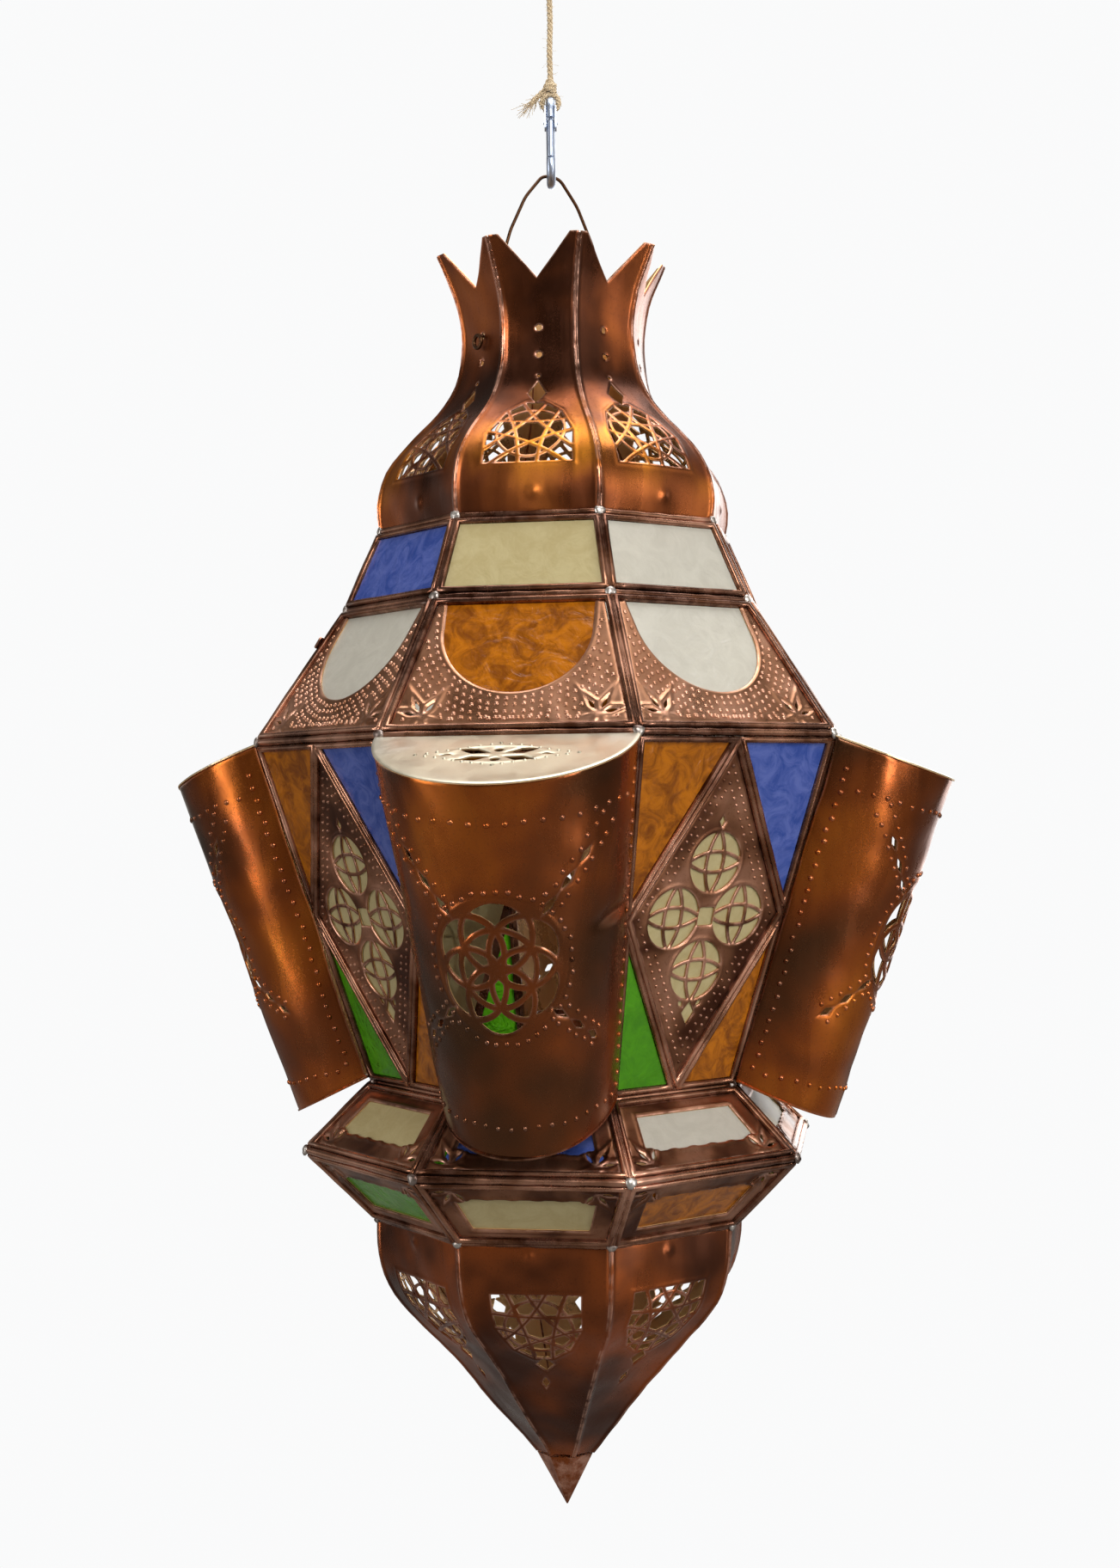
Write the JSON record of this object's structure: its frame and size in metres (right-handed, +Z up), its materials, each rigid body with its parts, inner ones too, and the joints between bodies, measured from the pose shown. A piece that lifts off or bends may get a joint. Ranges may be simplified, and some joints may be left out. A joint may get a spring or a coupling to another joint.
{
  "type": "hanging candle lantern",
  "caption": "Eight-sided hanging candle lantern of pierced copper sheet and coloured glass, with half-round bays, hinged door, wire bail, snap hook and twine.",
  "frame": {"origin": "inside top of the twine's hanging loop, where a ceiling hook bears; the lantern hangs below it", "axes": "+Z up along the lantern's axis; facet 0, which carries a bay, faces -Y; +X is to the viewer's right in front of it"},
  "size_m": [0.378, 0.378, 0.7553],
  "materials": {
    "jute_twine": "twisted jute fibre",
    "zinc_steel": "dull zinc plate",
    "bail_wire": "darkened copper wire",
    "edging_copper": "rolled copper edging with solder at the corners",
    "dome_copper": "heat-darkened copper with orange glints",
    "bay_copper": "brown and olive patina copper",
    "cap_tin": "tinned copper, scuffed",
    "punched_copper": "copper with rows of punched dots",
    "embossed_copper": "pierced and embossed copper",
    "fittings_brass": "plain copper strip",
    "glass_amber": "rippled amber glass",
    "glass_blue": "streaked blue glass",
    "glass_green": "rippled green glass",
    "glass_cream": "frosted cream glass",
    "glass_clear": "frosted clear glass"
  },
  "bodies": {
    "hanger": {"twine": "jute_twine", "hanging_loop": "jute_twine", "hook_knot": "jute_twine"},
    "snap_hook": {"snap_hook": "zinc_steel", "gate_pin": "zinc_steel"},
    "gate": {"hook_gate": "zinc_steel"},
    "bail": {"bail_wire": "bail_wire"},
    "door": {"door_panel": "punched_copper", "door_frame": "edging_copper", "door_glass": "glass_amber", "door_hinge_leaf": "fittings_brass", "door_pull": "fittings_brass"},
    "lantern": {"bay_foot_caps": "cap_tin", "bay_shell_0": "bay_copper", "bay_shell_2": "bay_copper", "bay_shell_4": "bay_copper", "bay_shell_6": "bay_copper", "bay_top_caps": "cap_tin", "came_frames": "edging_copper", "candle_bridge": "fittings_brass", "candle_cup": "fittings_brass", "drip_pan": "fittings_brass", "glass_amber": "glass_amber", "glass_blue": "glass_blue", "glass_clear": "glass_clear", "glass_cream": "glass_cream", "glass_green": "glass_green", "hinge_pin": "fittings_brass", "lower_dome_panel_0": "dome_copper", "lower_dome_panel_1": "dome_copper", "lower_dome_panel_2": "dome_copper", "lower_dome_panel_3": "dome_copper", "lower_dome_panel_4": "dome_copper", "lower_dome_panel_5": "dome_copper", "lower_dome_panel_6": "dome_copper", "lower_dome_panel_7": "dome_copper", "lozenge_panel_1": "embossed_copper", "lozenge_panel_3": "embossed_copper", "lozenge_panel_5": "embossed_copper", "lozenge_panel_7": "embossed_copper", "shell_hinge_leaves": "fittings_brass", "shoulder_panel_0": "punched_copper", "shoulder_panel_1": "punched_copper", "shoulder_panel_2": "punched_copper", "shoulder_panel_3": "punched_copper", "shoulder_panel_4": "punched_copper", "shoulder_panel_5": "punched_copper", "shoulder_panel_7": "punched_copper", "skirt_panels": "embossed_copper", "tip_cone": "dome_copper", "under_rim_panels": "embossed_copper", "upper_dome_panel_0": "dome_copper", "upper_dome_panel_1": "dome_copper", "upper_dome_panel_2": "dome_copper", "upper_dome_panel_3": "dome_copper", "upper_dome_panel_4": "dome_copper", "upper_dome_panel_5": "dome_copper", "upper_dome_panel_6": "dome_copper", "upper_dome_panel_7": "dome_copper"}
  },
  "joints": [
    {"name": "hook_swing", "type": "hinge", "parent": "hanger", "child": "snap_hook", "pos_m": [0, 0, -0.071], "axis": [0.1582, -0.9874, 0], "range_deg": [-25, 25]},
    {"name": "gate_press", "type": "hinge", "parent": "snap_hook", "child": "gate", "pos_m": [0.00123, -0.0077, -0.0838], "axis": [0.9874, 0.1582, 0], "range_deg": [0, 30], "stiffness_Nm_per_rad": 0.02, "springref_deg": -20.05},
    {"name": "bail_swing", "type": "hinge", "parent": "snap_hook", "child": "bail", "pos_m": [0, 0, -0.1108], "axis": [0.1582, -0.9874, 0], "range_deg": [-25, 25]},
    {"name": "lantern_swing", "type": "hinge", "parent": "bail", "child": "lantern", "pos_m": [0, 0, -0.1901], "axis": [0.7071, 0.7071, 0], "range_deg": [-30, 30]},
    {"name": "door_open", "type": "hinge", "parent": "lantern", "child": "door", "pos_m": [-0.13604, 0, -0.37932], "axis": [0, -1, 0], "range_deg": [0, 115]}
  ]
}
